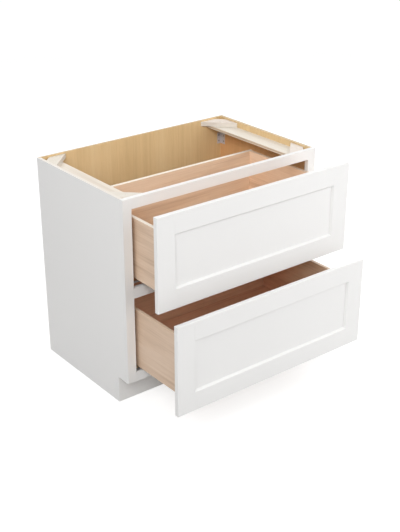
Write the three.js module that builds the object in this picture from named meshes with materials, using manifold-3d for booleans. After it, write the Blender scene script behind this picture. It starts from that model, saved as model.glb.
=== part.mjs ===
// Kitchen base cabinet with two deep drawers, standing open as in a showroom.
//
// Millimetres, +Z up, +X to the right, the front looks along -Y. The origin is on the floor,
// in the middle of the width, in the plane of the cabinet's rear edges.
//
// A plywood carcass stands behind a solid wood face frame. Corner blocks and a brace along each
// side stiffen the open top and carry the worktop. Each drawer is a dovetailed box with a
// five-piece front, on a pair of three-part slides that run under its bottom.

import * as THREE from 'three';
import { mergeVertices } from 'three/addons/utils/BufferGeometryUtils.js';
import Module from 'manifold-3d';

const wasm = await Module();
wasm.setup();

// ---------------------------------------------------------------------------------------------
// Driving sizes
// ---------------------------------------------------------------------------------------------

const inch = 25.4;

const cabinet = {
  width: 37.5 * inch,
  depth: 23.75 * inch, // to the face of the frame, without the drawer fronts
  height: 34.5 * inch,
};

const glueLine = 0.2; // between pieces that are glued or screwed face to face
const jointGap = 0.25; // round a tenon, a tongue or a tail in its socket
const overrun = 2; // how far a cutter passes the face that it opens

const ply = { side: 12.7, back: 9.5, deck: 12.7, dado: 6.35 };

const toeKick = { height: 4.5 * inch, depth: 2.75 * inch, thickness: 12.7 };

const frame = {
  thickness: 19.05,
  stile: 38.1,
  rail: 41.3,
  tenonLength: 25,
  tenonThickness: 6.4,
  tenonShoulder: 6,
};

const cornerBlock = {
  leg: 4.5 * inch,
  cut: 38.1,
  thickness: 19.05,
  below: 6.35, // the top of the cabinet
  hole: 2.4,
  holeAt: 38.1,
};

const brace = { width: 76.2, thickness: 12.7 };

const angle = {
  height: 52,
  backLeg: 20,
  sideLeg: 31,
  steel: 2,
  bend: 4,
  below: 73, // the top of the cabinet
  hole: 2.5,
  holeFromEnd: 13,
  holeFromEdge: 7.5,
};

const front = {
  reveal: 6.35, // of the frame that stays bare round each closed front
  thickness: 19.05,
  ease: 1.2, // chamfer round the outer edge of the face
  flat: 78, // of a stile's or rail's face
  bevel: 6.35,
  quirk: 1.5, // square step at the foot of the bevel
  panel: 6.35,
  lip: 2.7, // of the frame behind the panel
  groove: 9.5,
  panelFloat: 1.5,
  bumper: 1.6, // keeps the closed front off the frame
};

const box = {
  thickness: 15.9,
  shortfall: 12.7, // of the box's depth to the slide's length
  sideGap: 16, // to the opening's edge
  railGap: 16, // to the rail below
  headroom: 41, // to the rail above
  bottom: 6.4,
  bottomRecess: 12.7, // under the bottom panel, for the slides
  groove: 6.35,
  roundOver: 3,
  tailPitch: 27,
  tailShare: 0.68, // of the pitch, at the tail's wide end
  tailSlope: 1 / 7,
};

const slide = {
  steel: 1.4,
  running: 0.4, // between two members
  cabinetWidth: 30,
  cabinetHeight: 6,
  frontSetback: 3, // of the cabinet member behind the face of the frame
  rearSpace: 66.85, // from the cabinet's rear plane to the cabinet member
  drop: 13, // of the cabinet member under the box's lower edge
  lip: 5,
  web: 8,
  flange: 2,
  middleFrontGap: 3, // to the front of the box, with the drawer closed
  middleRearGap: 18, // to the rear end of the cabinet member, with the drawer closed
  drawerWidth: 25,
  drawerHeight: 5.6,
  tabLength: 15,
  tabHeight: 26,
  tabHole: 2.2,
  tabHoleFromEnds: 7,
  hookHeight: 18,
  pin: 2.5, // on the hook, enters the back of the box
  pinLength: 8,
  pinOverMember: 13.5,
  sideClearance: 0.6, // to the inside of the box's side
};

const rearBracket = {
  wall: 2.5,
  grip: 12, // over the end of the cabinet member
  plate: 3,
  plateWidth: 44,
  plateHeight: 50,
  hole: 2.2,
  holeFromTop: 12,
  holeFromMiddle: 12,
};

const latch = {
  width: 34,
  length: 42,
  height: 9,
  lever: 14,
  leverEnd: 9,
  slot: 3,
  hole: 1.8,
  holeFromEnds: 9,
};

// How far each drawer stands open. The travel of both is the same.
const drawers = [
  { name: 'bottom', open: 289.5 },
  { name: 'top', open: 177.5 },
];

// ---------------------------------------------------------------------------------------------
// Places that follow from them
// ---------------------------------------------------------------------------------------------

const halfWidth = cabinet.width / 2;
const sideInner = halfWidth - ply.side; // face of a side panel that looks into the cabinet
const frameBack = cabinet.depth - frame.thickness; // distances from the rear plane
const toeFace = cabinet.depth - toeKick.depth;
const openingHalf = halfWidth - frame.stile;

const frontHalf = halfWidth - front.reveal;
const frontHeight = (cabinet.height - toeKick.height - (drawers.length + 1) * front.reveal) / drawers.length;
const frontPitch = frontHeight + front.reveal;
const frontEdge = front.flat + front.bevel; // width of a front's stile or rail at its panel
const panelSlotDepth = front.panel + 2 * jointGap;
const panelRecess = front.thickness - front.lip - panelSlotDepth; // from the face down to the panel

const deckTop = toeKick.height + frame.rail;
const deckBottom = deckTop - ply.deck;

const slideLength = cabinet.depth - slide.frontSetback - slide.rearSpace;

const railShows = frame.rail - front.reveal; // behind a front, of the lowest and the top rail
const boxLift = railShows + box.railGap; // from the lower edge of the front
const boxHeight = frontHeight - 2 * railShows - box.railGap - box.headroom;
const boxDepth = slideLength - box.shortfall;
const boxHalf = openingHalf - box.sideGap;
const boxInner = boxHalf - box.thickness;
const backboardFoot = box.bottomRecess + box.bottom + glueLine; // the back stands on the bottom

const slideOuter = boxInner - slide.sideClearance; // outer wall of the cabinet member
const slideMiddle = slideOuter - slide.cabinetWidth / 2;
const slideBottom = -slide.drop; // heights from the box's lower edge
const drawerMemberTop = box.bottomRecess - glueLine;
const pinHeight = drawerMemberTop + slide.pinOverMember;
const middleRear = slide.rearSpace + slide.middleRearGap;
const middleFront = cabinet.depth + front.bumper - glueLine - box.thickness - slide.middleFrontGap;

// ---------------------------------------------------------------------------------------------
// Materials
// ---------------------------------------------------------------------------------------------

const finish = (color, roughness, metalness = 0) =>
  new THREE.MeshStandardMaterial({ color, roughness, metalness, flatShading: true });

const paint = finish(0xe9e8e6, 0.45);
const birchPly = finish(0xd0b084, 0.6);
const drawerWood = finish(0xcfab8a, 0.5);
const paleWood = finish(0xeee3d0, 0.65);
const zinc = finish(0xb4b6bb, 0.4, 0.9);
const greyPlastic = finish(0x8c8f94, 0.6);

// ---------------------------------------------------------------------------------------------
// Shapes
// ---------------------------------------------------------------------------------------------

const X = new THREE.Vector3(1, 0, 0);
const Y = new THREE.Vector3(0, 1, 0);
const Z = new THREE.Vector3(0, 0, 1);

// An outline is a list of [a, b]. It lies in the first two axes and is swept along the third.
const PLAN = new THREE.Matrix4().makeBasis(X, Y, Z);
const SIDE_VIEW = new THREE.Matrix4().makeBasis(Y, Z, X);
const FRONT_VIEW = new THREE.Matrix4().makeBasis(X, Z, Y.clone().negate());

// Sweeps an outline along its third axis, half of the length to each side of its plane.
function sweep(outline, length, view, holes = []) {
  const shape = new THREE.Shape(outline.map(([a, b]) => new THREE.Vector2(a, b)));
  shape.holes = holes;
  const geometry = new THREE.ExtrudeGeometry(shape, { depth: length, bevelEnabled: false });
  geometry.translate(0, 0, -length / 2);
  return geometry.applyMatrix4(view);
}

const holeSides = 16;

function roundHole(a, b, radius) {
  const corner = (_, i) => {
    const turn = (2 * Math.PI * i) / holeSides;
    return new THREE.Vector2(a + radius * Math.cos(turn), b + radius * Math.sin(turn));
  };
  return new THREE.Path(Array.from({ length: holeSides }, corner));
}

// A cutter for a hole along Y.
const drill = (radius, length) => new THREE.CylinderGeometry(radius, radius, length, holeSides);

// A box from its lowest to its highest value on each axis.
function block([x0, x1], [y0, y1], [z0, z1]) {
  const geometry = new THREE.BoxGeometry(x1 - x0, y1 - y0, z1 - z0);
  return geometry.translate((x0 + x1) / 2, (y0 + y1) / 2, (z0 + z1) / 2);
}

function toSolid(geometry) {
  const bare = geometry.clone();
  bare.deleteAttribute('normal');
  bare.deleteAttribute('uv');
  const merged = mergeVertices(bare);
  const vertProperties = new Float32Array(merged.attributes.position.array);
  const triVerts = new Uint32Array(merged.index.array);
  return new wasm.Manifold(new wasm.Mesh({ numProp: 3, vertProperties, triVerts }));
}

function toGeometry(solid) {
  const mesh = solid.getMesh();
  const geometry = new THREE.BufferGeometry();
  geometry.setAttribute('position', new THREE.BufferAttribute(mesh.vertProperties, 3));
  geometry.setIndex(new THREE.BufferAttribute(mesh.triVerts, 1));
  return geometry;
}

function cut(body, ...tools) {
  return toGeometry(tools.reduce((solid, tool) => solid.subtract(toSolid(tool)), toSolid(body)));
}

function join(body, ...more) {
  return toGeometry(more.reduce((solid, piece) => solid.add(toSolid(piece)), toSolid(body)));
}

function common(body, other) {
  return toGeometry(toSolid(body).intersect(toSolid(other)));
}

function node(name, geometry, material, x = 0, y = 0, z = 0) {
  const mesh = new THREE.Mesh(geometry, material);
  mesh.name = name;
  mesh.position.set(x, y, z);
  return mesh;
}

const handed = (side) => (side < 0 ? 'left' : 'right');

// ---------------------------------------------------------------------------------------------
// Carcass
// ---------------------------------------------------------------------------------------------

// Local origin: middle of the panel's thickness, rear edge, floor.
function sidePanel(side) {
  const frontEdge = -(frameBack - glueLine);
  const outline = [
    [0, 0],
    [-toeFace, 0],
    [-toeFace, toeKick.height],
    [frontEdge, toeKick.height],
    [frontEdge, cabinet.height],
    [0, cabinet.height],
  ];
  const innerFace = (-side * ply.side) / 2;
  const dadoSpan = [innerFace - ply.dado, innerFace + ply.dado];
  const deckSpan = [deckBottom - jointGap, deckTop + jointGap];
  const deckDado = block(dadoSpan, [frontEdge - overrun, overrun], deckSpan);
  const backRabbet = block(
    dadoSpan,
    [-(ply.back + jointGap), overrun],
    [-overrun, cabinet.height + overrun],
  );
  const geometry = cut(sweep(outline, ply.side, SIDE_VIEW), deckDado, backRabbet);
  return node(`side_panel_${handed(side)}`, geometry, paint, side * (halfWidth - ply.side / 2));
}

function backPanel() {
  const width = 2 * (sideInner + ply.dado - jointGap);
  const geometry = new THREE.BoxGeometry(width, ply.back, cabinet.height);
  return node('back_panel', geometry, birchPly, 0, -ply.back / 2, cabinet.height / 2);
}

function bottomDeck() {
  const width = 2 * (sideInner + ply.dado - jointGap);
  const rear = ply.back + glueLine;
  const depth = frameBack - glueLine - rear;
  const geometry = new THREE.BoxGeometry(width, depth, ply.deck);
  return node('bottom_deck', geometry, birchPly, 0, -(rear + depth / 2), deckTop - ply.deck / 2);
}

function toeKickBoard() {
  const height = deckBottom - glueLine;
  const geometry = new THREE.BoxGeometry(2 * (sideInner - glueLine), toeKick.thickness, height);
  return node('toe_kick_board', geometry, paint, 0, -(toeFace - toeKick.thickness / 2), height / 2);
}

// Local origin: inner corner of the cabinet, top. The cut corner leaves room for glue and a screw.
function topCornerBlock(sideX, sideY) {
  const { leg, cut: cutBack, thickness, below, hole, holeAt } = cornerBlock;
  const towards = ([a, b]) => [-sideX * a, -sideY * b];
  const outline = [
    [cutBack, 0],
    [leg, 0],
    [0, leg],
    [0, cutBack],
  ].map(towards);
  const screwHole = roundHole(-sideX * holeAt, -sideY * holeAt, hole);
  const geometry = sweep(outline, thickness, PLAN, [screwHole]);
  const x = sideX * (sideInner - glueLine);
  const y = sideY > 0 ? -(ply.back + glueLine) : -(frameBack - glueLine);
  const name = `corner_block_${sideY > 0 ? 'rear' : 'front'}_${handed(sideX)}`;
  return node(name, geometry, paleWood, x, y, cabinet.height - below - thickness / 2);
}

function sideBrace(side) {
  const rear = ply.back + glueLine;
  const length = frameBack - glueLine - rear;
  const geometry = new THREE.BoxGeometry(brace.width, length, brace.thickness);
  const x = side * (sideInner - glueLine - brace.width / 2);
  const top = cabinet.height - cornerBlock.below - cornerBlock.thickness - glueLine;
  const z = top - brace.thickness / 2;
  return node(`side_brace_${handed(side)}`, geometry, paleWood, x, -(rear + length / 2), z);
}

// Pressed steel angle in a rear corner. Local origin: the corner, middle of its height.
function cornerAngle(side) {
  const { bend } = angle;
  const outline = new THREE.Path();
  outline.moveTo(angle.backLeg, 0);
  outline.lineTo(bend, 0);
  outline.absarc(bend, bend, bend, -Math.PI / 2, -Math.PI, true);
  outline.lineTo(0, angle.sideLeg);
  outline.lineTo(angle.steel, angle.sideLeg);
  outline.lineTo(angle.steel, bend);
  outline.absarc(bend, bend, bend - angle.steel, -Math.PI, -Math.PI / 2, false);
  outline.lineTo(angle.backLeg, angle.steel);
  const points = outline.getPoints(6).map((p) => [-side * p.x, -p.y]);
  const holes = [-1, 1].flatMap((end) => {
    const z = end * (angle.height / 2 - angle.holeFromEnd);
    const throughBack = drill(angle.hole, 4 * angle.steel);
    throughBack.translate(-side * (angle.backLeg - angle.holeFromEdge), 0, z);
    const throughSide = drill(angle.hole, 4 * angle.steel).rotateZ(Math.PI / 2);
    throughSide.translate(0, -(angle.sideLeg - angle.holeFromEdge), z);
    return [throughBack, throughSide];
  });
  const geometry = cut(sweep(points, angle.height, PLAN), ...holes);
  const x = side * (sideInner - glueLine);
  const z = cabinet.height - angle.below - angle.height / 2;
  return node(`corner_angle_${handed(side)}`, geometry, zinc, x, -(ply.back + glueLine), z);
}

// ---------------------------------------------------------------------------------------------
// Face frame, with a mortise and tenon at each joint
// ---------------------------------------------------------------------------------------------

// Height of the middle of each rail, from the foot of the frame.
const frameHeight = cabinet.height - toeKick.height;
const railHeights = [
  ['bottom', frame.rail / 2],
  ['middle', front.reveal + frontPitch - front.reveal / 2],
  ['top', frameHeight - frame.rail / 2],
];
const tenonHeight = frame.rail - 2 * frame.tenonShoulder;

// Local origin: middle of the stile's width and thickness, foot of the frame.
function frameStile(side) {
  const edge = (-side * frame.stile) / 2;
  const depth = frame.tenonLength + jointGap;
  const half = frame.tenonThickness / 2 + jointGap;
  const mortises = railHeights.map(([, z]) =>
    block(
      [edge - depth, edge + depth],
      [-half, half],
      [z - tenonHeight / 2 - jointGap, z + tenonHeight / 2 + jointGap],
    ),
  );
  const blank = block(
    [-frame.stile / 2, frame.stile / 2],
    [-frame.thickness / 2, frame.thickness / 2],
    [0, frameHeight],
  );
  const x = side * (halfWidth - frame.stile / 2);
  const y = -(cabinet.depth - frame.thickness / 2);
  return node(`frame_stile_${handed(side)}`, cut(blank, ...mortises), paint, x, y, toeKick.height);
}

function frameRail([name, height]) {
  const shoulder = openingHalf - glueLine;
  const reach = openingHalf + frame.tenonLength;
  const board = new THREE.BoxGeometry(2 * shoulder, frame.thickness, frame.rail);
  const tenons = new THREE.BoxGeometry(2 * reach, frame.tenonThickness, tenonHeight);
  const y = -(cabinet.depth - frame.thickness / 2);
  return node(`frame_rail_${name}`, join(board, tenons), paint, 0, y, toeKick.height + height);
}

// ---------------------------------------------------------------------------------------------
// Drawer box. Local origin of a drawer: middle of its width, back of its front, the front's
// lower edge. The box stands boxLift above that.
// ---------------------------------------------------------------------------------------------

// Tails between two heights, each as the four corners of its trapezoid at a board's end:
// distance from the end, and height. A socket is the same trapezoid, grown by the joint's gap.
function tails(low, high, grow = 0) {
  const count = Math.max(2, Math.round((high - low) / box.tailPitch));
  const pitch = (high - low) / count;
  const base = box.thickness + jointGap;
  const half = (distance) => (pitch * box.tailShare) / 2 - box.tailSlope * distance + grow;
  return Array.from({ length: count }, (_, i) => {
    const middle = low + (i + 0.5) * pitch;
    return [
      [base, middle - half(base)],
      [-grow, middle - half(-grow)],
      [-grow, middle + half(-grow)],
      [base, middle + half(base)],
    ];
  });
}

const frontTails = (grow) => tails(0, boxHeight, grow);
const rearTails = (grow) => tails(backboardFoot, boxHeight, grow);
const fromRear = ([distance, height]) => [boxDepth - distance, height];

// Upper corners rounded over, as an outline of the given width about zero.
function roundedTop(width, low, high) {
  const half = width / 2;
  const r = box.roundOver;
  const path = new THREE.Path();
  path.moveTo(-half, low);
  path.lineTo(half, low);
  path.absarc(half - r, high - r, r, 0, Math.PI / 2, false);
  path.absarc(-half + r, high - r, r, Math.PI / 2, Math.PI, false);
  return path.getPoints(4).map((p) => [p.x, p.y]);
}

// The groove that the bottom slides into from the rear.
const bottomGroove = [box.bottomRecess - jointGap, box.bottomRecess + box.bottom + jointGap];
const grooveStart = box.thickness - box.groove - jointGap;

function boxSide(drawer, side) {
  const rearEnd = rearTails(0).reverse().flatMap((tail) => tail.map(fromRear).reverse());
  const outline = [
    [box.thickness + jointGap, 0],
    ...frontTails(0).flat(),
    [box.thickness + jointGap, boxHeight],
    [boxDepth - box.thickness - jointGap, boxHeight],
    ...rearEnd,
    [boxDepth - box.thickness - jointGap, backboardFoot - jointGap],
    [boxDepth, backboardFoot - jointGap],
    [boxDepth, 0],
  ];
  const rounded = sweep(roundedTop(box.thickness, 0, boxHeight), 3 * boxDepth, FRONT_VIEW);
  const blank = common(sweep(outline, box.thickness, SIDE_VIEW), rounded);
  const innerFace = (-side * box.thickness) / 2;
  const groove = block(
    [innerFace - box.groove - jointGap, innerFace + box.groove + jointGap],
    [grooveStart, boxDepth + overrun],
    bottomGroove,
  );
  const x = side * (boxHalf - box.thickness / 2);
  const name = `${drawer}_drawer_box_side_${handed(side)}`;
  return node(name, cut(blank, groove), drawerWood, x, glueLine, boxLift);
}

// Cuts the sockets for the tails of both sides out of a front or back board.
function socketed(board, tailList) {
  const length = box.thickness + jointGap + overrun;
  const sockets = [-1, 1].flatMap((side) =>
    tailList.map((tail) => {
      const socket = sweep(tail, length, SIDE_VIEW);
      return socket.translate(side * (boxInner - jointGap + length / 2), 0, 0);
    }),
  );
  return cut(board, ...sockets);
}

function boxFront(drawer) {
  const profile = roundedTop(box.thickness, 0, boxHeight).map(([a, b]) => [a + box.thickness / 2, b]);
  const board = socketed(sweep(profile, 2 * boxHalf, SIDE_VIEW), frontTails(jointGap));
  const reach = boxInner + box.groove + jointGap;
  const groove = block([-reach, reach], [grooveStart, box.thickness + overrun], bottomGroove);
  return node(`${drawer}_drawer_box_front`, cut(board, groove), drawerWood, 0, glueLine, boxLift);
}

function boxBack(drawer) {
  const middle = boxDepth - box.thickness / 2;
  const profile = roundedTop(box.thickness, backboardFoot, boxHeight).map(([a, b]) => [a + middle, b]);
  const rearList = rearTails(jointGap).map((tail) => tail.map(fromRear));
  const board = socketed(sweep(profile, 2 * boxHalf, SIDE_VIEW), rearList);
  const pinHoles = [-1, 1].map((side) => {
    const hole = drill(slide.pin + jointGap, 2 * slide.pinLength);
    return hole.translate(side * slideMiddle, boxDepth, pinHeight);
  });
  return node(`${drawer}_drawer_box_back`, cut(board, ...pinHoles), drawerWood, 0, glueLine, boxLift);
}

function boxBottom(drawer) {
  const width = 2 * (boxInner + box.groove);
  const start = box.thickness - box.groove;
  const depth = boxDepth - start;
  const geometry = new THREE.BoxGeometry(width, depth, box.bottom);
  const z = boxLift + box.bottomRecess + box.bottom / 2;
  return node(`${drawer}_drawer_box_bottom`, geometry, drawerWood, 0, glueLine + start + depth / 2, z);
}

// ---------------------------------------------------------------------------------------------
// Drawer front: two stiles, two rails coped over their bevel, and a floating panel
// ---------------------------------------------------------------------------------------------

const panelSlot = [panelRecess, panelRecess + panelSlotDepth];

// Sections of a stile or rail: distance from its outer edge, and depth behind the face.
const sectionFace = [
  [0, front.ease],
  [front.ease, 0],
  [front.flat, 0],
  [frontEdge, panelRecess - front.quirk],
];
const sectionBack = [
  [frontEdge, front.thickness],
  [0, front.thickness],
];
const sectionSlot = [
  [frontEdge, panelSlot[0]],
  [frontEdge - front.groove, panelSlot[0]],
  [frontEdge - front.groove, panelSlot[1]],
  [frontEdge, panelSlot[1]],
];
const slottedSection = [...sectionFace, ...sectionSlot, ...sectionBack];
const plainSection = [...sectionFace, ...sectionBack];

function frontStileShape(side, section) {
  const outline = section.map(([a, depth]) => [side * (frontHalf - a), depth - front.thickness]);
  return sweep(outline, frontHeight, PLAN).translate(0, 0, frontHeight / 2);
}

// The ends of a stile take the same chamfer as its edge.
function frontStile(drawer, side) {
  const face = -front.thickness;
  const easedEnds = [
    [face, front.ease],
    [face + front.ease, 0],
    [0, 0],
    [0, frontHeight],
    [face + front.ease, frontHeight],
    [face, frontHeight - front.ease],
  ];
  const geometry = common(frontStileShape(side, slottedSection), sweep(easedEnds, cabinet.width, SIDE_VIEW));
  return node(`${drawer}_front_stile_${handed(side)}`, geometry, paint);
}

// The ends are cut to the stile's face, and a tongue on each enters the stile's slot.
function frontRail(drawer, up) {
  const height = (a) => (up ? frontHeight - a : a);
  const outline = slottedSection.map(([a, depth]) => [depth - front.thickness, height(a)]);
  const board = sweep(outline, 2 * (frontHalf - front.flat), SIDE_VIEW);
  const copes = [-1, 1].map((side) => frontStileShape(side, plainSection).translate(-side * jointGap, 0, 0));
  const tongueReach = frontHalf - frontEdge + front.groove - 2 * jointGap;
  const tongueFace = panelSlot[0] + jointGap - front.thickness;
  const [low, high] = [height(0), height(frontEdge - front.groove)].sort((a, b) => a - b);
  const tongue = block([-tongueReach, tongueReach], [tongueFace, tongueFace + front.panel], [low, high]);
  return node(`${drawer}_front_rail_${up ? 'top' : 'bottom'}`, join(cut(board, ...copes), tongue), paint);
}

function frontPanel(drawer) {
  const inset = frontEdge - front.groove + front.panelFloat;
  const geometry = new THREE.BoxGeometry(2 * (frontHalf - inset), front.panel, frontHeight - 2 * inset);
  const y = panelSlot[0] + jointGap + front.panel / 2 - front.thickness;
  return node(`${drawer}_front_panel`, geometry, paint, 0, y, frontHeight / 2);
}

// ---------------------------------------------------------------------------------------------
// Slides under the drawer bottom. Heights are from the box's lower edge, and sections run
// inwards from the outer wall of the cabinet member.
// ---------------------------------------------------------------------------------------------

// A channel with turned-in lips, open upwards.
function channel(width, height, start, low) {
  const { steel, lip } = slide;
  return [
    [0, 0],
    [width, 0],
    [width, height],
    [width - lip, height],
    [width - lip, height - steel],
    [width - steel, height - steel],
    [width - steel, steel],
    [steel, steel],
    [steel, height - steel],
    [lip, height - steel],
    [lip, height],
    [0, height],
  ].map(([a, b]) => [start + a, low + b]);
}

const inward = (side) => ([a, b]) => [-side * a, b];

// Channel on the cabinet, with a tab at the front that is screwed to the edge of the frame.
// Local origin: outer wall, middle of the length, the box's lower edge.
function cabinetMember(drawer, side) {
  const section = channel(slide.cabinetWidth, slide.cabinetHeight, 0, slideBottom);
  const rail = sweep(section.map(inward(side)), slideLength, FRONT_VIEW);
  const tabReach = openingHalf - glueLine - slideOuter;
  const tabSection = [
    [slide.steel, 0],
    [-tabReach, 0],
    [-tabReach, slide.tabHeight],
    [-tabReach + slide.steel, slide.tabHeight],
    [-tabReach + slide.steel, slide.steel],
    [slide.steel, slide.steel],
  ].map(([a, b]) => [a, slideBottom + b]);
  const tab = sweep(tabSection.map(inward(side)), slide.tabLength, FRONT_VIEW);
  const tabY = -(slideLength - slide.tabLength) / 2;
  tab.translate(0, tabY, 0);
  const holes = [slide.tabHoleFromEnds, slide.tabHeight - slide.tabHoleFromEnds].map((height) => {
    const hole = drill(slide.tabHole, 4 * slide.steel).rotateZ(Math.PI / 2);
    return hole.translate(side * tabReach, tabY, slideBottom + height);
  });
  const geometry = cut(join(rail, tab), ...holes);
  const y = -(slide.rearSpace + slideLength / 2);
  return node(`${drawer}_slide_cabinet_member_${handed(side)}`, geometry, zinc, side * slideOuter, y);
}

// I-section that rides in the cabinet member and carries the drawer member.
function middleMember(drawer, side) {
  const { steel, running, flange, web } = slide;
  const lowHalf = slide.cabinetWidth / 2 - steel - running;
  const highHalf = slide.drawerWidth / 2 - steel - running;
  const foot = slideBottom + steel + running;
  const head = drawerMemberTop - steel - running;
  const outline = [
    [-lowHalf, foot],
    [lowHalf, foot],
    [lowHalf, foot + flange],
    [web / 2, foot + flange],
    [web / 2, head - flange],
    [highHalf, head - flange],
    [highHalf, head],
    [-highHalf, head],
    [-highHalf, head - flange],
    [-web / 2, head - flange],
    [-web / 2, foot + flange],
    [-lowHalf, foot + flange],
  ];
  const geometry = sweep(outline, middleFront - middleRear, FRONT_VIEW);
  const y = -(middleFront + middleRear) / 2;
  const x = side * slideMiddle;
  return node(`${drawer}_slide_middle_member_${handed(side)}`, geometry, zinc, x, y);
}

// Channel under the drawer bottom, open downwards. A hook stands up behind the box, and a pin on
// it enters the back board.
function drawerMember(drawer, side) {
  const half = slide.drawerWidth / 2;
  const section = channel(slide.drawerWidth, slide.drawerHeight, -half, 0);
  const start = box.thickness + glueLine;
  const length = boxDepth - start + glueLine + slide.steel;
  const rail = sweep(section.map(([a, b]) => [a, drawerMemberTop - b]), length, FRONT_VIEW);
  const hookFace = length / 2 - slide.steel;
  const hook = block(
    [-half / 2, half / 2],
    [hookFace, length / 2],
    [drawerMemberTop - slide.steel, drawerMemberTop + slide.hookHeight],
  );
  const pinReach = slide.steel + slide.pinLength;
  const pin = drill(slide.pin, pinReach).translate(0, (length - pinReach) / 2, pinHeight);
  const geometry = join(rail, hook, pin);
  const x = side * slideMiddle;
  const y = glueLine + start + length / 2;
  return node(`${drawer}_slide_drawer_member_${handed(side)}`, geometry, zinc, x, y, boxLift);
}

// Plastic socket on the back panel that holds the rear end of the cabinet member.
// Local origin: middle of the member, its rear end, the box's lower edge.
function slideRearBracket(drawer, side) {
  const { wall, grip, plate, plateWidth, plateHeight } = rearBracket;
  const half = slide.cabinetWidth / 2 + jointGap;
  const low = slideBottom - jointGap;
  const high = slideBottom + slide.cabinetHeight + jointGap;
  const rear = slide.rearSpace - ply.back - glueLine;
  const sleeve = block([-half - wall, half + wall], [-grip, rear], [low - wall, high + wall]);
  const bore = block([-half, half], [-grip - overrun, rear - plate], [low, high]);
  const foot = low - wall;
  const outline = [
    [-plateWidth / 2, foot],
    [plateWidth / 2, foot],
    [plateWidth / 2, foot + plateHeight],
    [-plateWidth / 2, foot + plateHeight],
  ];
  const { hole, holeFromTop, holeFromMiddle } = rearBracket;
  const holes = [-1, 1].map((end) => roundHole(end * holeFromMiddle, foot + plateHeight - holeFromTop, hole));
  const face = sweep(outline, plate, FRONT_VIEW, holes).translate(0, rear - plate / 2, 0);
  const geometry = join(cut(sleeve, bore), face);
  const x = side * slideMiddle;
  return node(`${drawer}_slide_rear_bracket_${handed(side)}`, geometry, greyPlastic, x, -slide.rearSpace);
}

// Latch behind the box's front that clips the drawer to its slide. Its lever is squeezed to let go.
// Local origin: the drawer member's inner wall, back of the box's front.
function slideLatch(drawer, side) {
  const { width, length, lever, leverEnd, slot, hole, holeFromEnds } = latch;
  const leverEdge = width - lever;
  const outline = new THREE.Path();
  outline.moveTo(0, 0);
  outline.lineTo(leverEdge - slot, 0);
  outline.lineTo(leverEdge - slot, length / 2);
  outline.absarc(leverEdge - slot / 2, length / 2, slot / 2, Math.PI, 0, true);
  outline.lineTo(leverEdge, lever / 2);
  outline.absarc(width - lever / 2, lever / 2, lever / 2, Math.PI, 2 * Math.PI, false);
  outline.quadraticCurveTo(width, length / 2, leverEdge + leverEnd, length);
  outline.lineTo(0, length);
  const points = outline.getPoints(6).map((p) => [-side * p.x, p.y]);
  const holeX = (-side * (leverEdge - slot)) / 2;
  const holes = [holeFromEnds, length - holeFromEnds].map((y) => roundHole(holeX, y, hole));
  const geometry = sweep(points, latch.height, PLAN, holes);
  const x = side * (slideMiddle - slide.drawerWidth / 2 - jointGap);
  const y = glueLine + box.thickness + glueLine;
  const z = boxLift + drawerMemberTop - latch.height / 2;
  return node(`${drawer}_slide_latch_${handed(side)}`, geometry, greyPlastic, x, y, z);
}

// ---------------------------------------------------------------------------------------------
// Assembly
// ---------------------------------------------------------------------------------------------

function drawerAssembly(name, open, foot) {
  const group = new THREE.Group();
  group.name = `${name}_drawer`;
  group.position.set(0, -(cabinet.depth + front.bumper + open), foot);
  group.add(boxFront(name), boxBack(name), boxBottom(name), frontPanel(name));
  group.add(frontRail(name, true), frontRail(name, false));
  for (const side of [-1, 1]) {
    group.add(boxSide(name, side), frontStile(name, side));
    group.add(drawerMember(name, side), slideLatch(name, side));
  }
  return group;
}

// The parts of a drawer's slides that stay on the cabinet, and the middle members, which run out
// half as far as the drawer does.
function slideAssembly(name, open, foot) {
  const fixed = new THREE.Group();
  fixed.name = `${name}_slides`;
  fixed.position.set(0, 0, foot + boxLift);
  const middle = new THREE.Group();
  middle.name = `${name}_slide_middles`;
  middle.position.set(0, -open / 2, 0);
  for (const side of [-1, 1]) {
    fixed.add(cabinetMember(name, side), slideRearBracket(name, side));
    middle.add(middleMember(name, side));
  }
  fixed.add(middle);
  return fixed;
}

const model = new THREE.Group();
model.name = 'base_cabinet';

model.add(backPanel(), bottomDeck(), toeKickBoard());
for (const side of [-1, 1]) {
  model.add(sidePanel(side), frameStile(side), sideBrace(side), cornerAngle(side));
  model.add(topCornerBlock(side, 1), topCornerBlock(side, -1));
}
model.add(...railHeights.map(frameRail));

drawers.forEach(({ name, open }, index) => {
  const foot = toeKick.height + front.reveal + index * frontPitch;
  model.add(drawerAssembly(name, open, foot), slideAssembly(name, open, foot));
});

export default model;
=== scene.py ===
"""Looks of a kitchen base cabinet with two drawers: finishes, screws, bumpers, camera and light.

Metres, with +Z up. +X is to the right, and the drawers open towards -Y.
"""

import math

import bmesh
import bpy
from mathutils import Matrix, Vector


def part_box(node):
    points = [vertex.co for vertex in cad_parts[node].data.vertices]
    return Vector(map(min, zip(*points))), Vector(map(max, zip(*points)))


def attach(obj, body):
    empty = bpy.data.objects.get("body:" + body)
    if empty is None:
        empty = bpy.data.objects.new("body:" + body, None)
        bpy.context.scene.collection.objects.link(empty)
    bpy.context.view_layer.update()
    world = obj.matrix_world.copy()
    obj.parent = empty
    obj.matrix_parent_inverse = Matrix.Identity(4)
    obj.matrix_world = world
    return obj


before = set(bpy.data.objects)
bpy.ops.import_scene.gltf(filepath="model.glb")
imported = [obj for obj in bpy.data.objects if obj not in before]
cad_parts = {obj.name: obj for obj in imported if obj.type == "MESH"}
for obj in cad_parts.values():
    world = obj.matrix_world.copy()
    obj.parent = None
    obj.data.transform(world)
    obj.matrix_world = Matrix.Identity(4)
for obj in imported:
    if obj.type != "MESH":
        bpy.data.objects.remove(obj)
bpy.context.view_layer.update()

MM = 0.001
SIDES = {"left": -1, "right": 1}
DRAWERS = ("bottom", "top")
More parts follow.
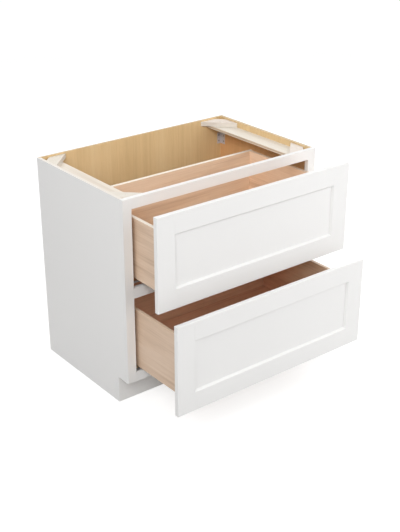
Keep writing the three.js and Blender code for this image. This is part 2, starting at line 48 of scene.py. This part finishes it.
AXES = {"X": Vector((1, 0, 0)), "Y": Vector((0, 1, 0)), "Z": Vector((0, 0, 1))}

# ----------------------------------------------------------------------------------------------
# Colours. They are linear and are written as they should look in plain light. A wood's colours
# run from its dark figure to its light one, and a core's are those of its layers by turns.
# ----------------------------------------------------------------------------------------------

# Some of these colours also carry painted light or painted shade; each such place says so.
WHITE = (0.852, 0.845, 0.834)

BIRCH = ((0.700, 0.495, 0.245), (0.810, 0.590, 0.315), (0.860, 0.655, 0.375))
# Painted shade: the side panels' veneer turns darker and more orange downwards, to BIRCH_SHADED,
# between the heights of PAINTED_SHADE_HEIGHTS. It stands in for the shade and warm bounce light
# under the braces.
BIRCH_SHADED = ((0.680, 0.375, 0.170), (0.765, 0.440, 0.208), (0.800, 0.500, 0.250))
BIRCH_CORE = ((0.520, 0.390, 0.230), (0.680, 0.540, 0.360))
PAINTED_SHADE_HEIGHTS = (0.80, 0.85)  # heights between which the side panels' veneer turns darker downwards

DRAWER_WOOD = ((0.570, 0.400, 0.278), (0.722, 0.540, 0.400), (0.790, 0.618, 0.482))
DRAWER_BACK_WOOD = ((0.545, 0.402, 0.293), (0.682, 0.541, 0.415), (0.740, 0.608, 0.490))
DRAWER_END_GRAIN = (0.70, 0.84)  # shares of the board's first two colours
# Top edges of the drawer boards. The dull one is painted shade, for the lower drawer and the right
# sides. The pale one is partly the edge wood's own paler tone and partly painted highlight.
PAINTED_SHADE_RIM = ((0.690, 0.525, 0.385), (0.770, 0.605, 0.465))
PALE_RIM_AND_HIGHLIGHT = ((0.850, 0.770, 0.660), (0.890, 0.830, 0.740))
RIMS = {"bottom": PAINTED_SHADE_RIM, "top": PALE_RIM_AND_HIGHLIGHT}
# Painted light: the faces inside a box are lifted lighter than the same wood outside, against the
# shade they lie in. Painted shade: near the lower drawer's back they turn darker and redder.
DRAWER_INSIDE_PAINTED_LIGHT = (1.16, 1.13, 1.09)  # tint of the faces inside a box
DEEP_SHADE = (1.00, 0.81, 0.75)  # further tint of those near the lower drawer's back
DEEP_SHADE_REACH = (0.26, 0.10)  # from that back, where it starts and where it is full

# Painted light: the right brace and corner blocks are the same wood as the left ones, made lighter
# for the light that falls on that side.
PALE_WOOD_RIGHT_PAINTED_LIGHTER = {
    "left": ((0.640, 0.560, 0.465), (0.765, 0.700, 0.605), (0.820, 0.770, 0.690)),
    "right": ((0.680, 0.610, 0.520), (0.810, 0.755, 0.665), (0.860, 0.820, 0.745)),
}
PALE_CORE = ((0.560, 0.450, 0.330), (0.800, 0.720, 0.610))
BLOCK_WOOD_RIGHT_PAINTED_LIGHTER = {
    "left": ((0.650, 0.585, 0.485), (0.710, 0.655, 0.565), (0.750, 0.700, 0.625)),
    "right": ((0.730, 0.640, 0.560), (0.800, 0.725, 0.660), (0.840, 0.780, 0.720)),
}
CREAM_CORE = ((0.700, 0.635, 0.550), (0.790, 0.745, 0.690))

ZINC = (0.700, 0.675, 0.700)
SLIDE_STEEL = (0.480, 0.470, 0.475)
SCREW_STEEL = (0.330, 0.320, 0.320)
GREY_PLASTIC = (0.250, 0.255, 0.270)
RUBBER = (0.800, 0.810, 0.820)

# ----------------------------------------------------------------------------------------------
# Screws and bumpers: radius and rise of the heads, thickness of the sheets that they sit on, and
# their places on the pieces that carry them.
# ----------------------------------------------------------------------------------------------

SMALL_HEAD = (3.4 * MM, 1.7 * MM)
LARGE_HEAD = (4.6 * MM, 2.3 * MM)
DOME = (4.2 * MM, 1.5 * MM)

ANGLE_STEEL = 2 * MM
ANGLE_SCREW_FROM_END = 13 * MM
ANGLE_SCREW_FROM_CORNER = {"back": 12.5 * MM, "side": 23.5 * MM}  # on the leg at that panel

SLIDE_SHEET = 1.4 * MM
SLIDE_SCREW_FROM_FRONT = 7.5 * MM
SLIDE_SCREW_HEIGHTS = (7 * MM, 19 * MM)

BRACKET_PLATE = 3 * MM
BRACKET_SCREW_FROM_MIDDLE = 12 * MM
BRACKET_SCREW_FROM_TOP = 12 * MM

LATCH_SCREW_FROM_SIDE = 8.5 * MM
LATCH_SCREW_FROM_END = 9 * MM

FRONT_SCREW_FROM_SIDE = 90 * MM
FRONT_SCREW_FROM_FOOT = 65 * MM
FRONT_SCREW_FROM_TOP = 55 * MM
BUMPER_FROM_EDGES = 12 * MM

# Outlines of a head and a dome, as shares of their radius and rise, from the seat to the top.
HEAD_OUTLINE = (
    (0.0, 0.0), (1.0, 0.0), (1.0, 0.35), (0.93, 0.68), (0.74, 0.90), (0.40, 0.98), (0.0, 1.0)
)
DOME_OUTLINE = (
    (0.0, 0.0), (0.96, 0.0), (1.0, 0.20), (0.95, 0.48), (0.80, 0.74), (0.55, 0.92), (0.0, 1.0)
)

# Cross recess in a head, as shares of its radius and rise. Its cutter ends above the head.
RECESS_REACH = 0.52
RECESS_HALF_WIDTH = 0.12
RECESS_FLOOR = 0.40
RECESS_CUTTER_TOP = 2.00

# ----------------------------------------------------------------------------------------------
# Camera, lamps and floor
# ----------------------------------------------------------------------------------------------

PICTURE_HEIGHT = 532  # of the photograph, in pixels
FOCAL = 998.39  # in the same pixels
CAMERA_PLACE = (-2.30848, -3.37173, 2.16861)
CAMERA_AZIMUTH = 38.27  # degrees from +Y towards +X
CAMERA_DROP = 25.07  # degrees below level
CAMERA_SIGHT = 60  # furthest distance that it sees

AMBIENT = 0.30  # strength with which the white surround lights the object
LAMP_AIM = (0, -0.6, 0.45)
LAMPS = (  # name, place, size, power
    ("fill", (-4.4, -6.4, 5.2), 3.0, 213),
    ("left", (-3.0, -1.8, 3.2), 2.0, 64),
    ("right", (2.0, -2.6, 0.7), 1.2, 15),
    ("front", (1.2, -3.8, 2.2), 2.0, 28),
    ("rear", (0.5, 2.6, 3.0), 2.0, 38),
    ("rear_right", (3.2, 0.4, 2.8), 2.0, 60),
)

FLOOR_HALF = 14.0
FLOOR_DARK = (0.495, 0.495, 0.495)
FLOOR_LIGHT = (0.500, 0.500, 0.500)
FLOOR_GLOW = (0.68, 0.86)  # beside the cabinet and far from it
FLOOR_GLOW_REACH = (1.6, 7.0)  # from the origin, where the first ends and the second starts


# ----------------------------------------------------------------------------------------------
# Shader nodes
# ----------------------------------------------------------------------------------------------

MIX_SOCKETS = {"RGBA": (6, 7, 2), "FLOAT": (2, 3, 0)}  # both inputs and the output of a Mix node
NOISE_RANGE = (0.3, 0.7)  # that nearly all of a noise lies in
FACING = 0.7  # least share of a face's normal along an axis that it faces


class Shader:
    """A material and short calls that add nodes to it."""

    def __init__(self, name):
        self.material = bpy.data.materials.new(name)
        self.material.use_nodes = True
        self.tree = self.material.node_tree
        self.tree.nodes.clear()
        self.output = self.tree.nodes.new("ShaderNodeOutputMaterial")

    def node(self, kind, settings=None, **inputs):
        made = self.tree.nodes.new("ShaderNode" + kind)
        for key, value in (settings or {}).items():
            setattr(made, key, value)
        for key, value in inputs.items():
            self.feed(made.inputs[key.replace("_", " ")], value)
        return made

    def feed(self, socket, value):
        if isinstance(value, bpy.types.NodeSocket):
            self.tree.links.new(value, socket)
        elif isinstance(value, tuple) and len(value) == 3 and socket.type == "RGBA":
            socket.default_value = (*value, 1)
        else:
            socket.default_value = value

    def math(self, operation, *values):
        made = self.node("Math", {"operation": operation})
        for socket, value in zip(made.inputs, values):
            self.feed(socket, value)
        return made.outputs[0]

    def vector(self, operation, *values):
        made = self.node("VectorMath", {"operation": operation})
        for socket, value in zip(made.inputs, values):
            self.feed(socket, value)
        return made.outputs["Value" if operation in ("DOT_PRODUCT", "LENGTH") else "Vector"]

    def mix(self, factor, one, other, kind="RGBA", **settings):
        made = self.node("Mix", {"data_type": kind, **settings})
        first, second, result = MIX_SOCKETS[kind]
        for place, value in ((0, factor), (first, one), (second, other)):
            self.feed(made.inputs[place], value)
        return made.outputs[result]

    def multiply(self, one, other):
        return self.mix(1.0, one, other, blend_type="MULTIPLY")

    def spread(self, value, low, high, to_low=0.0, to_high=1.0):
        """Carries the range low..high of a value over to another range, and holds it there."""
        limits = {"From_Min": low, "From_Max": high, "To_Min": to_low, "To_Max": to_high}
        return self.node("MapRange", None, Value=value, **limits).outputs[0]

    def vary(self, noise, low, high):
        """Spreads a noise over low..high."""
        return self.spread(noise, *NOISE_RANGE, low, high)

    def ramp(self, value, colours):
        made = self.node("ValToRGB", None, Fac=value)
        stops = made.color_ramp.elements
        while len(stops) < len(colours):
            stops.new(0.5)
        for i, colour in enumerate(colours):
            stops[i].position = i / (len(colours) - 1)
            stops[i].color = (*colour, 1)
        return made.outputs["Color"]

    def place(self, scale=(1, 1, 1)):
        """Place on the cabinet at rest, in metres, scaled axis by axis."""
        return self.vector("MULTIPLY", self.node("TexCoord").outputs["Object"], scale)

    def along(self, axis):
        """Place along one axis, in metres."""
        return self.vector("DOT_PRODUCT", self.place(), AXES[axis])

    def noise(self, scale, detail=3.0, roughness=0.55, distortion=0.0, stretch=(1, 1, 1)):
        """Noise of a scale per metre, drawn out along the axes where stretch is under 1."""
        shape = {"Detail": detail, "Roughness": roughness, "Distortion": distortion}
        made = self.node("TexNoise", None, Vector=self.place(stretch), Scale=scale, **shape)
        return made.outputs[0]

    def facing(self, axis):
        """1 on faces that look along the axis, -1 on those that look against it."""
        normal = self.node("NewGeometry").outputs["True Normal"]
        return self.vector("DOT_PRODUCT", normal, AXES[axis])

    def across(self, axis):
        """1 on faces that look along an axis or against it, and 0 on the others."""
        return self.math("GREATER_THAN", self.math("ABSOLUTE", self.facing(axis)), FACING)

    def between(self, low, high):
        """1 between the upright planes through two opposite corners, at any height, or else 0."""
        middle = tuple((a + b) / 2 for a, b in zip(low, high))
        offset = self.vector("ABSOLUTE", self.vector("SUBTRACT", self.place(), middle))
        parts = self.node("SeparateXYZ", None, Vector=offset).outputs
        near = [self.math("LESS_THAN", parts[i], (high[i] - low[i]) / 2) for i in range(2)]
        return self.math("MULTIPLY", *near)

    def finish(self, relief, depth, strength, edge, **inputs):
        """Glossy surface with a relief of that depth, and with edges softened to that radius."""
        softened = self.node("Bevel", {"samples": 4}, Radius=edge).outputs["Normal"]
        bump = self.node(
            "Bump", None, Height=relief, Distance=depth, Strength=strength, Normal=softened
        )
        shader = self.node("BsdfPrincipled", None, Normal=bump.outputs["Normal"], **inputs)
        self.tree.links.new(shader.outputs["BSDF"], self.output.inputs["Surface"])
        return self.material


def scaled(colour, share):
    """A colour made darker to a share of itself."""
    return tuple(share * c for c in colour)


# ----------------------------------------------------------------------------------------------
# Materials
# ----------------------------------------------------------------------------------------------


def painted(name):
    """Sprayed satin white paint."""
    shader = Shader(name)
    shade = shader.noise(3.0, detail=2.0)
    mist = shader.noise(420.0, detail=2.0, roughness=0.5)
    colour = shader.mix(shade, scaled(WHITE, 0.985), WHITE)
    shine = shader.vary(mist, 0.36, 0.46)
    return shader.finish(
        mist, depth=0.05 * MM, strength=0.5, edge=0.4 * MM, Base_Color=colour, Roughness=shine
    )


def plated_steel(name, colour, metallic):
    """Plated sheet steel: dull, with faint cloudy blooms."""
    shader = Shader(name)
    cloud = shader.noise(160.0, detail=4.0, roughness=0.6)
    tone = shader.mix(cloud, scaled(colour, 0.88), colour)
    look = {"Base_Color": tone, "Roughness": shader.vary(cloud, 0.34, 0.50), "Metallic": metallic}
    return shader.finish(cloud, depth=0.03 * MM, strength=0.4, edge=0.2 * MM, **look)


def moulded_plastic(name, colour):
    """Moulded plastic with a fine spark-eroded texture."""
    shader = Shader(name)
    grit = shader.noise(1500.0, detail=2.0)
    tone = shader.mix(grit, scaled(colour, 0.92), colour)
    look = {"Base_Color": tone, "Roughness": shader.vary(grit, 0.48, 0.62)}
    return shader.finish(grit, depth=0.05 * MM, strength=0.5, edge=0.3 * MM, **look)


def soft_rubber(name, colour):
    """Milky self-adhesive bumper."""
    shader = Shader(name)
    haze = shader.noise(300.0, detail=2.0)
    tone = shader.mix(haze, scaled(colour, 0.95), colour)
    look = {"Base_Color": tone, "Roughness": shader.vary(haze, 0.30, 0.42)}
    look["Transmission_Weight"] = 0.35
    return shader.finish(haze, depth=0.02 * MM, strength=0.3, edge=0.2 * MM, **look)


def stretched(axis, along):
    """Scale that draws a pattern out along the grain."""
    return tuple(along if name == axis else 1.0 for name in "XYZ")


def grain(shader, axis, scale, strength):
    """Figure of a board or veneer along an axis, from 0 to 1, and its fine fibres."""
    rings = shader.noise(16.0 * scale, detail=4.0, distortion=0.6, stretch=stretched(axis, 0.08))
    streaks = shader.noise(110.0 * scale, stretch=stretched(axis, 0.02))
    patches = shader.noise(5.0, detail=2.0, roughness=0.5, stretch=stretched(axis, 0.35))
    fibres = shader.noise(900.0, detail=2.0, roughness=0.5, stretch=stretched(axis, 0.03))
    mixed = 0.5
    for noise, share in ((rings, 0.55), (streaks, 0.40), (patches, 0.35)):
        swing = shader.math("SUBTRACT", noise, 0.5)
        mixed = shader.math("MULTIPLY_ADD", swing, share * strength, mixed)
    return shader.vary(mixed, 0.0, 1.0), fibres


def fine(shader, fibres):
    """Faint shade of the fibres, to multiply a wood's colour with."""
    return shader.mix(shader.spread(fibres, 0.35, 0.65), (0.95, 0.94, 0.93), (1.0, 1.0, 1.0))


def solid_wood(name, axis, colours, rim=None, inside=None):
    """Clear-coated board with its grain along an axis, darker end grain, and an upper edge in the
    colours of rim: paler, partly as painted highlight, on the upper drawer, and darker, as painted
    shade, on the others.

    inside is two corners of the space in a drawer box, whose inner faces get painted light, and
    whether painted deep shade goes on its rear.
    """
    shader = Shader(name)
    figure, fibres = grain(shader, axis, scale=1.4, strength=1.15)
    face = shader.multiply(shader.ramp(figure, colours), fine(shader, fibres))
    if inside:
        low, high, shaded = inside
        # Painted light on the inner faces, and painted deep shade near the lower drawer's back.
        inner = shader.multiply(face, DRAWER_INSIDE_PAINTED_LIGHT)
        if shaded:
            start, full = (high[1] - reach for reach in DEEP_SHADE_REACH)
            near = shader.spread(shader.along("Y"), start, full)
            inner = shader.mix(near, inner, shader.multiply(inner, DEEP_SHADE))
        face = shader.mix(shader.between(low, high), face, inner)
    pores = shader.noise(1300.0, detail=2.0)
    end = tuple(scaled(colour, share) for colour, share in zip(colours, DRAWER_END_GRAIN))
    colour = shader.mix(shader.across(axis), face, shader.ramp(pores, end))
    # Top edges take the colours of rim: partly painted highlight on the upper drawer's edges, and
    # painted shade on the others.
    if rim:
        upward = shader.spread(shader.facing("Z"), 0.35, 0.75)
        colour = shader.mix(upward, colour, shader.ramp(figure, rim))
    look = {"Base_Color": colour, "Roughness": shader.vary(fibres, 0.38, 0.50)}
    return shader.finish(fibres, depth=0.08 * MM, strength=0.6, edge=0.5 * MM, **look)


def plies(shader, axis, low, thickness, count):
    """Layers of plywood across its thickness: 0 and 1 by turns, with soft, uneven borders."""
    per_metre = count / thickness
    layer = shader.math("MULTIPLY_ADD", shader.along(axis), per_metre, -low * per_metre)
    wave = shader.math("SINE", shader.math("MULTIPLY", layer, math.pi))
    uneven = shader.math("MULTIPLY_ADD", shader.noise(60.0), 0.6, wave)
    return shader.spread(uneven, -0.2, 0.8)


def plywood(name, axis, colours, core, layers, strength=1.0, white_side=0, painted_shade_colours=None):
    """Veneered panel: grain on both faces, layers on its edges.

    white_side is the sign of the face that is painted white along with the front edge, or 0.
    painted_shade_colours are the veneer's colours below the heights of PAINTED_SHADE_HEIGHTS, a
    painted shade that darkens it downwards.
    """
    shader = Shader(name)
    across = layers[0]
    figure, fibres = grain(shader, axis, scale=0.7, strength=strength)
    veneer = shader.ramp(figure, colours)
    # Painted shade: darker, more orange veneer lower down.
    if painted_shade_colours:
        height = shader.spread(shader.along("Z"), *PAINTED_SHADE_HEIGHTS)
        veneer = shader.mix(height, shader.ramp(figure, painted_shade_colours), veneer)
    face = shader.multiply(veneer, fine(shader, fibres))
    colour = shader.mix(shader.across(across), shader.ramp(plies(shader, *layers), core), face)
    shine = shader.vary(fibres, 0.42, 0.56)
    if white_side:
        outward = shader.math("MULTIPLY", shader.facing(across), white_side)
        forward = shader.math("MULTIPLY", shader.facing("Y"), -1.0)
        outer = shader.math("GREATER_THAN", shader.math("MAXIMUM", outward, forward), FACING)
        colour = shader.mix(outer, colour, WHITE)
        shine = shader.mix(outer, shine, 0.42, "FLOAT")
    look = {"Base_Color": colour, "Roughness": shine}
    return shader.finish(fibres, depth=0.06 * MM, strength=0.5, edge=0.4 * MM, **look)


# ----------------------------------------------------------------------------------------------
# Which node gets which material
# ----------------------------------------------------------------------------------------------


def give(material, *nodes):
    for name in nodes:
        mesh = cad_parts[name].data
        mesh.materials.clear()
        mesh.materials.append(material)


def edge(node, axis, sign):
    """Lowest place of a node along an axis for a sign of -1, highest for 1."""
    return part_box(node)[sign > 0]["XYZ".index(axis)]


def layering(node, axis, count):
    """Axis across a panel's plies, where the first begins, the thickness and their number."""
    low, high = edge(node, axis, -1), edge(node, axis, 1)
    return axis, low, high - low, count


def finish_cabinet(white):
    give(white, "toe_kick_board", *(f"frame_rail_{level}" for level in ("bottom", "middle", "top")))
    for side, sign in SIDES.items():
        give(white, f"frame_stile_{side}")

        panel = f"side_panel_{side}"
        core = CREAM_CORE if side == "left" else BIRCH_CORE
        # The side panels get white paint on their outer face, and painted shade on their veneer
        # lower down.
        panel_look_with_painted_shade = {"strength": 0.8, "white_side": sign, "painted_shade_colours": BIRCH_SHADED}
        give(plywood(panel, "Z", BIRCH, core, layering(panel, "X", count=9), **panel_look_with_painted_shade), panel)

        # The right-side brace and blocks get painted light.
        brace = f"side_brace_{side}"
        layers = layering(brace, "Z", count=3)
        give(plywood(brace, "Y", PALE_WOOD_RIGHT_PAINTED_LIGHTER[side], PALE_CORE, layers), brace)

        blocks = [f"corner_block_{end}_{side}" for end in ("rear", "front")]
        layers = layering(blocks[0], "Z", count=9)
        give(plywood(f"blocks_{side}", "X", BLOCK_WOOD_RIGHT_PAINTED_LIGHTER[side], CREAM_CORE, layers), *blocks)

    back, deck = "back_panel", "bottom_deck"
    give(plywood(back, "Z", BIRCH, BIRCH_CORE, layering(back, "Y", count=7), strength=0.9), back)
    give(plywood(deck, "X", BIRCH, BIRCH_CORE, layering(deck, "Z", count=9)), deck)


def space_inside(box):
    """Two opposite corners of a drawer box's space, just past the inner faces that bound it."""
    margin = 0.3 * MM
    inner = edge(f"{box}_side_right", "X", -1) + margin
    rear = edge(f"{box}_back", "Y", -1) + margin
    front = edge(f"{box}_front", "Y", 1) - margin
    return (-inner, front, 0), (inner, rear, 1)


def finish_drawer(white, drawer):
    box, front = f"{drawer}_drawer_box", f"{drawer}_front"
    # The lower drawer's top edges get painted shade, and the upper's a pale edge with painted
    # highlight.
    rim = RIMS[drawer]
    # The inner faces get painted light, and the bottom drawer's also get painted deep shade at the
    # rear.
    inside = (*space_inside(box), drawer == "bottom")
    boards = {  # grain, colours and rim
        "front": ("X", DRAWER_WOOD, rim),
        "back": ("X", DRAWER_BACK_WOOD, rim),
        "bottom": ("X", DRAWER_WOOD, None),
        "side_left": ("Y", DRAWER_WOOD, rim),
        # The right sides' top edges get painted shade.
        "side_right": ("Y", DRAWER_WOOD, PAINTED_SHADE_RIM),
    }
    for board, look in boards.items():
        give(solid_wood(f"{box}_{board}", *look, inside), f"{box}_{board}")
    give(white, *(f"{front}_{part}" for part in ("panel", "rail_top", "rail_bottom")))
    give(white, *(f"{front}_stile_{side}" for side in SIDES))


def finish_hardware():
    zinc = plated_steel("zinc_steel", ZINC, metallic=0.3)
    steel = plated_steel("slide_steel", SLIDE_STEEL, metallic=0.55)
    plastic = moulded_plastic("grey_plastic", GREY_PLASTIC)
    for side in SIDES:
        give(zinc, f"corner_angle_{side}")
        for drawer in DRAWERS:
            slide = f"{drawer}_slide"
            members = [f"{slide}_{part}_member_{side}" for part in ("cabinet", "middle", "drawer")]
            give(steel, *members)
            give(plastic, f"{slide}_rear_bracket_{side}", f"{slide}_latch_{side}")


# ----------------------------------------------------------------------------------------------
# Screws and bumpers
# ----------------------------------------------------------------------------------------------


def mesh_from(made, name):
    """Mesh with outward faces from a bmesh, which is freed."""
    bmesh.ops.recalc_face_normals(made, faces=made.faces)
    mesh = bpy.data.meshes.new(name)
    made.to_mesh(mesh)
    made.free()
    return mesh


def revolved(name, outline, radius, rise, segments=24):
    """Closed mesh of an outline turned about Z. It starts and ends on the axis."""
    made = bmesh.new()
    turns = [2 * math.pi * i / segments for i in range(segments)]
    rings = []
    for reach, height in ((radius * r, rise * h) for r, h in outline):
        places = turns if reach else turns[:1]
        corners = [(reach * math.cos(t), reach * math.sin(t), height) for t in places]
        rings.append([made.verts.new(corner) for corner in corners])
    for ring, following in zip(rings, rings[1:]):
        for i in range(segments):
            j = (i + 1) % segments
            lower = (ring[i % len(ring)], ring[j % len(ring)])
            upper = (following[j % len(following)], following[i % len(following)])
            made.faces.new(dict.fromkeys((*lower, *upper)))
    return mesh_from(made, name)


def cross_prism(reach, half_width, low, high):
    """Mesh of an upright cross, to cut a driver's recess with."""
    quarter = [(reach, -half_width), (reach, half_width), (half_width, half_width)]
    outline = []
    for _ in range(4):
        outline += quarter
        quarter = [(-y, x) for x, y in quarter]
    made = bmesh.new()
    face = made.faces.new([made.verts.new((x, y, low)) for x, y in outline])
    raised = bmesh.ops.extrude_face_region(made, geom=[face])["geom"]
    corners = [item for item in raised if isinstance(item, bmesh.types.BMVert)]
    bmesh.ops.translate(made, verts=corners, vec=(0, 0, high - low))
    return mesh_from(made, "cross")


def screw_head(radius, rise, material):
    """Pan head with a cross recess. Its seat is in the XY plane, and it looks along +Z."""
    reach, half_width = RECESS_REACH * radius, RECESS_HALF_WIDTH * radius
    cross = cross_prism(reach, half_width, RECESS_FLOOR * rise, RECESS_CUTTER_TOP * rise)
    head = bpy.data.objects.new("head", revolved("head", HEAD_OUTLINE, radius, rise))
    cutter = bpy.data.objects.new("cutter", cross)
    for piece in (head, cutter):
        bpy.context.scene.collection.objects.link(piece)
    recess = head.modifiers.new("recess", "BOOLEAN")
    recess.operation = "DIFFERENCE"
    recess.object = cutter
    done = head.evaluated_get(bpy.context.evaluated_depsgraph_get())
    mesh = bpy.data.meshes.new_from_object(done)
    for piece in (head, cutter):
        bpy.data.objects.remove(piece)
    mesh.name = "screw_head"
    mesh.materials.clear()
    mesh.materials.append(material)
    return mesh


def bumper(radius, rise, material):
    """Low self-adhesive dome."""
    mesh = revolved("bumper", DOME_OUTLINE, radius, rise)
    for face in mesh.polygons:
        face.use_smooth = True
    mesh.materials.append(material)
    return mesh


def fasten(mesh, name, body, direction, places):
    """Copies of a head on a face that looks in a direction."""
    for number, place in enumerate(places, 1):
        made = bpy.data.objects.new(f"{name}_{number}", mesh)
        made.location = place
        made.rotation_euler = Vector(direction).to_track_quat("Z", "Y").to_euler()
        bpy.context.scene.collection.objects.link(made)
        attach(made, body)


def fasten_angles(head):
    for side, sign in SIDES.items():
        angle = f"corner_angle_{side}"
        corner, rear = edge(angle, "X", sign), edge(angle, "Y", 1)
        heights = [edge(angle, "Z", end) - end * ANGLE_SCREW_FROM_END for end in (-1, 1)]
        x, y = corner - sign * ANGLE_SCREW_FROM_CORNER["back"], rear - ANGLE_STEEL
        on_back = [(x, y, z) for z in heights]
        x, y = corner - sign * ANGLE_STEEL, rear - ANGLE_SCREW_FROM_CORNER["side"]
        on_side = [(x, y, z) for z in heights]
        fasten(head, f"{angle}_back_screw", "cabinet", (0, -1, 0), on_back)
        fasten(head, f"{angle}_side_screw", "cabinet", (-sign, 0, 0), on_side)


def fasten_slides(head, drawer):
    for side, sign in SIDES.items():
        member = f"{drawer}_slide_cabinet_member_{side}"
        x = edge(member, "X", sign) - sign * SLIDE_SHEET
        y, foot = edge(member, "Y", -1) + SLIDE_SCREW_FROM_FRONT, edge(member, "Z", -1)
        places = [(x, y, foot + height) for height in SLIDE_SCREW_HEIGHTS]
        fasten(head, f"{member}_screw", "cabinet", (-sign, 0, 0), places)

        bracket = f"{drawer}_slide_rear_bracket_{side}"
        middle = (edge(bracket, "X", -1) + edge(bracket, "X", 1)) / 2
        y, z = edge(bracket, "Y", 1) - BRACKET_PLATE, edge(bracket, "Z", 1) - BRACKET_SCREW_FROM_TOP
        places = [(middle + end * BRACKET_SCREW_FROM_MIDDLE, y, z) for end in (-1, 1)]
        fasten(head, f"{bracket}_screw", "cabinet", (0, -1, 0), places)

        latch = f"{drawer}_slide_latch_{side}"
        x, z = edge(latch, "X", sign) - sign * LATCH_SCREW_FROM_SIDE, edge(latch, "Z", -1)
        places = [(x, edge(latch, "Y", end) - end * LATCH_SCREW_FROM_END, z) for end in (-1, 1)]
        fasten(head, f"{latch}_screw", f"{drawer}_drawer", (0, 0, -1), places)


def fasten_front(head, dome, drawer):
    board = f"{drawer}_drawer_box_front"
    face = edge(board, "Y", 1)
    across = [edge(board, "X", sign) - sign * FRONT_SCREW_FROM_SIDE for sign in (-1, 1)]
    low = edge(board, "Z", -1) + FRONT_SCREW_FROM_FOOT
    high = edge(board, "Z", 1) - FRONT_SCREW_FROM_TOP
    places = [(x, face, z) for x in across for z in (low, high)]
    fasten(head, f"{board}_screw", f"{drawer}_drawer", (0, 1, 0), places)
    for side, sign in SIDES.items():
        stile = f"{drawer}_front_stile_{side}"
        x, back = edge(stile, "X", sign) - sign * BUMPER_FROM_EDGES, edge(stile, "Y", 1)
        places = [(x, back, edge(stile, "Z", end) - end * BUMPER_FROM_EDGES) for end in (-1, 1)]
        fasten(dome, f"{stile}_bumper", f"{drawer}_drawer", (0, 1, 0), places)


def add_fasteners():
    steel = plated_steel("screw_steel", SCREW_STEEL, metallic=0.8)
    small = screw_head(*SMALL_HEAD, steel)
    large = screw_head(*LARGE_HEAD, steel)
    dome = bumper(*DOME, soft_rubber("milky_rubber", RUBBER))
    fasten_angles(small)
    for drawer in DRAWERS:
        fasten_slides(small, drawer)
        fasten_front(large, dome, drawer)


# ----------------------------------------------------------------------------------------------
# Scene
# ----------------------------------------------------------------------------------------------


def add_camera():
    data = bpy.data.cameras.new("camera")
    data.lens = FOCAL / PICTURE_HEIGHT * data.sensor_width
    data.clip_end = CAMERA_SIGHT
    made = bpy.data.objects.new("camera", data)
    made.location = CAMERA_PLACE
    made.rotation_euler = (math.radians(90 - CAMERA_DROP), 0, math.radians(-CAMERA_AZIMUTH))
    bpy.context.scene.collection.objects.link(made)
    bpy.context.scene.camera = made


def seen_directly(tree):
    """1 for rays from the camera, and for mirrored and refracted ones."""
    path = tree.nodes.new("ShaderNodeLightPath")
    total = path.outputs["Is Camera Ray"]
    for name in ("Is Glossy Ray", "Is Transmission Ray"):
        add = tree.nodes.new("ShaderNodeMath")
        add.operation = "MAXIMUM"
        tree.links.new(total, add.inputs[0])
        tree.links.new(path.outputs[name], add.inputs[1])
        total = add.outputs[0]
    return total


def add_world():
    """White surround. It lights the object with a share of the strength that it is seen with."""
    made = bpy.data.worlds.new("studio")
    bpy.context.scene.world = made
    made.use_nodes = True
    tree = made.node_tree
    tree.nodes.clear()
    mix = tree.nodes.new("ShaderNodeMixShader")
    tree.links.new(seen_directly(tree), mix.inputs[0])
    for socket, strength in zip(mix.inputs[1:], (AMBIENT, 1.0)):
        light = tree.nodes.new("ShaderNodeBackground")
        light.inputs["Color"].default_value = (1, 1, 1, 1)
        light.inputs["Strength"].default_value = strength
        tree.links.new(light.outputs[0], socket)
    output = tree.nodes.new("ShaderNodeOutputWorld")
    tree.links.new(mix.outputs[0], output.inputs["Surface"])


def add_lamp(name, place, size, power):
    data = bpy.data.lights.new(name, "AREA")
    data.size = size
    data.energy = power
    made = bpy.data.objects.new(name, data)
    made.location = place
    aim = Vector(LAMP_AIM) - Vector(place)
    made.rotation_euler = aim.to_track_quat("-Z", "Y").to_euler()
    bpy.context.scene.collection.objects.link(made)


def floor_material():
    """Pale floor. Seen directly it glows almost to white, and keeps the cabinet's shadow."""
    shader = Shader("floor")
    colour = shader.mix(shader.noise(2.0), FLOOR_DARK, FLOOR_LIGHT)
    distance = shader.vector("LENGTH", shader.place())
    glow = shader.spread(distance, *FLOOR_GLOW_REACH, *FLOOR_GLOW)
    glow = shader.math("MULTIPLY", seen_directly(shader.tree), glow)
    lit = shader.node("BsdfDiffuse", None, Color=colour)
    light = shader.node("Emission", None, Color=(1.0, 1.0, 1.0), Strength=glow)
    both = shader.node("AddShader")
    for socket, part in zip(both.inputs, (lit, light)):
        shader.feed(socket, part.outputs[0])
    shader.feed(shader.output.inputs["Surface"], both.outputs[0])
    return shader.material


def add_floor():
    h = FLOOR_HALF
    mesh = bpy.data.meshes.new("floor")
    mesh.from_pydata([(-h, -h, 0), (h, -h, 0), (h, h, 0), (-h, h, 0)], [], [(0, 1, 2, 3)])
    mesh.materials.append(floor_material())
    made = bpy.data.objects.new("floor", mesh)
    bpy.context.scene.collection.objects.link(made)


add_camera()
add_world()
add_floor()
for settings in LAMPS:
    add_lamp(*settings)
bpy.context.scene.view_settings.view_transform = "Standard"

white = painted("white_paint")
finish_cabinet(white)
for drawer in DRAWERS:
    finish_drawer(white, drawer)
finish_hardware()
add_fasteners()
